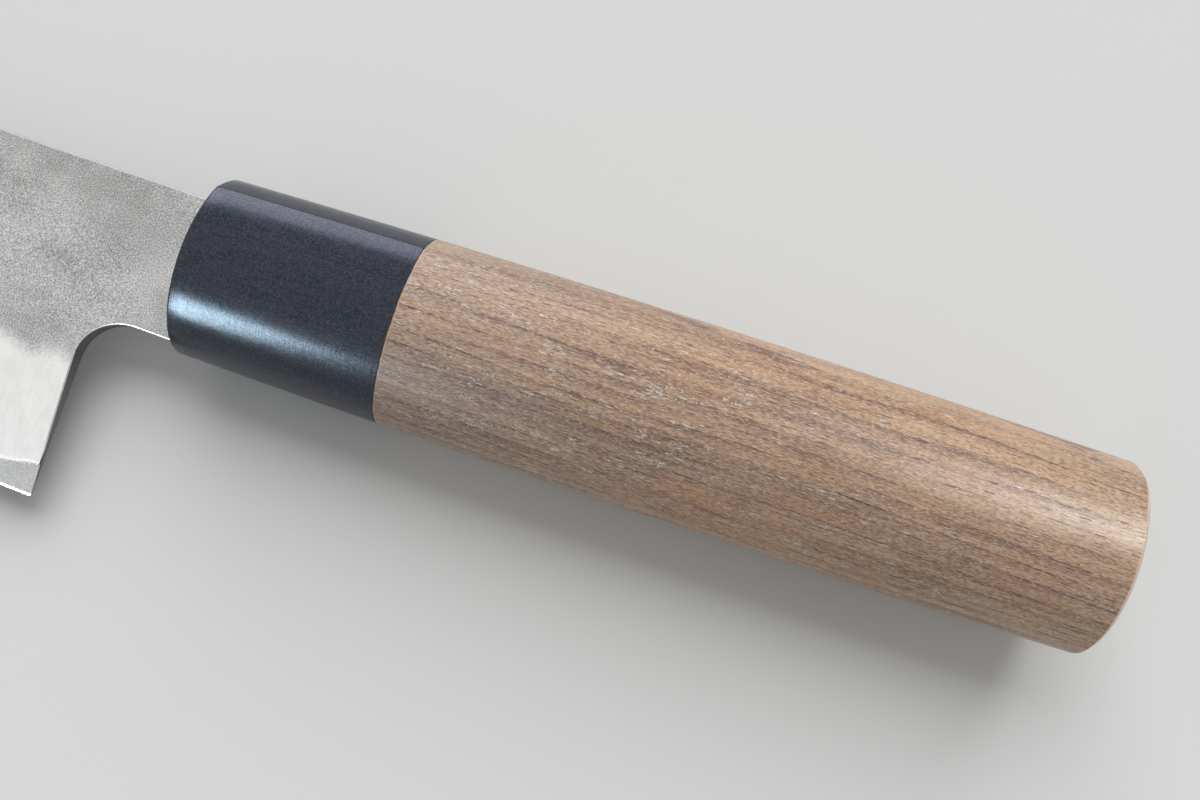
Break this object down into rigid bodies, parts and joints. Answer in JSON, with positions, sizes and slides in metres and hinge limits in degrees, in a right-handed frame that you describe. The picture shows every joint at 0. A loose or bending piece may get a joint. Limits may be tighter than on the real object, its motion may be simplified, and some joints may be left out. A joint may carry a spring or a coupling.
{
  "type": "sujihiki knife",
  "caption": "Long slicing knife with a laminated steel blade, notched heel, hidden tang, black ferrule and oval walnut handle with one ridge.",
  "frame": {"origin": "middle of the whole knife's box, on the surface that it lies on", "axes": "+X along the handle from the tip to the butt, +Y towards the spine, +Z out of the left face of the blade, up when the knife lies on its right side"},
  "size_m": [0.4052, 0.0496, 0.0206],
  "materials": {
    "core_steel": "hard carbon or stainless steel, fine grey satin from the stone",
    "cladding_steel": "soft stainless cladding, pear-skin texture above, bright satin bevel below",
    "black_ferrule": "black resin-filled wood, sanded crosswise and waxed to a soft gloss",
    "walnut": "oiled walnut, open pores along the grain, satin",
    "dowel_wood": "raw turned beech dowel",
    "resin": "cured amber resin"
  },
  "bodies": {
    "root": {"core_steel": "core_steel", "cladding_left": "cladding_steel", "cladding_right": "cladding_steel", "ferrule": "black_ferrule", "handle_body": "walnut", "tang_dowel": "dowel_wood", "tang_resin": "resin"}
  },
  "joints": []
}
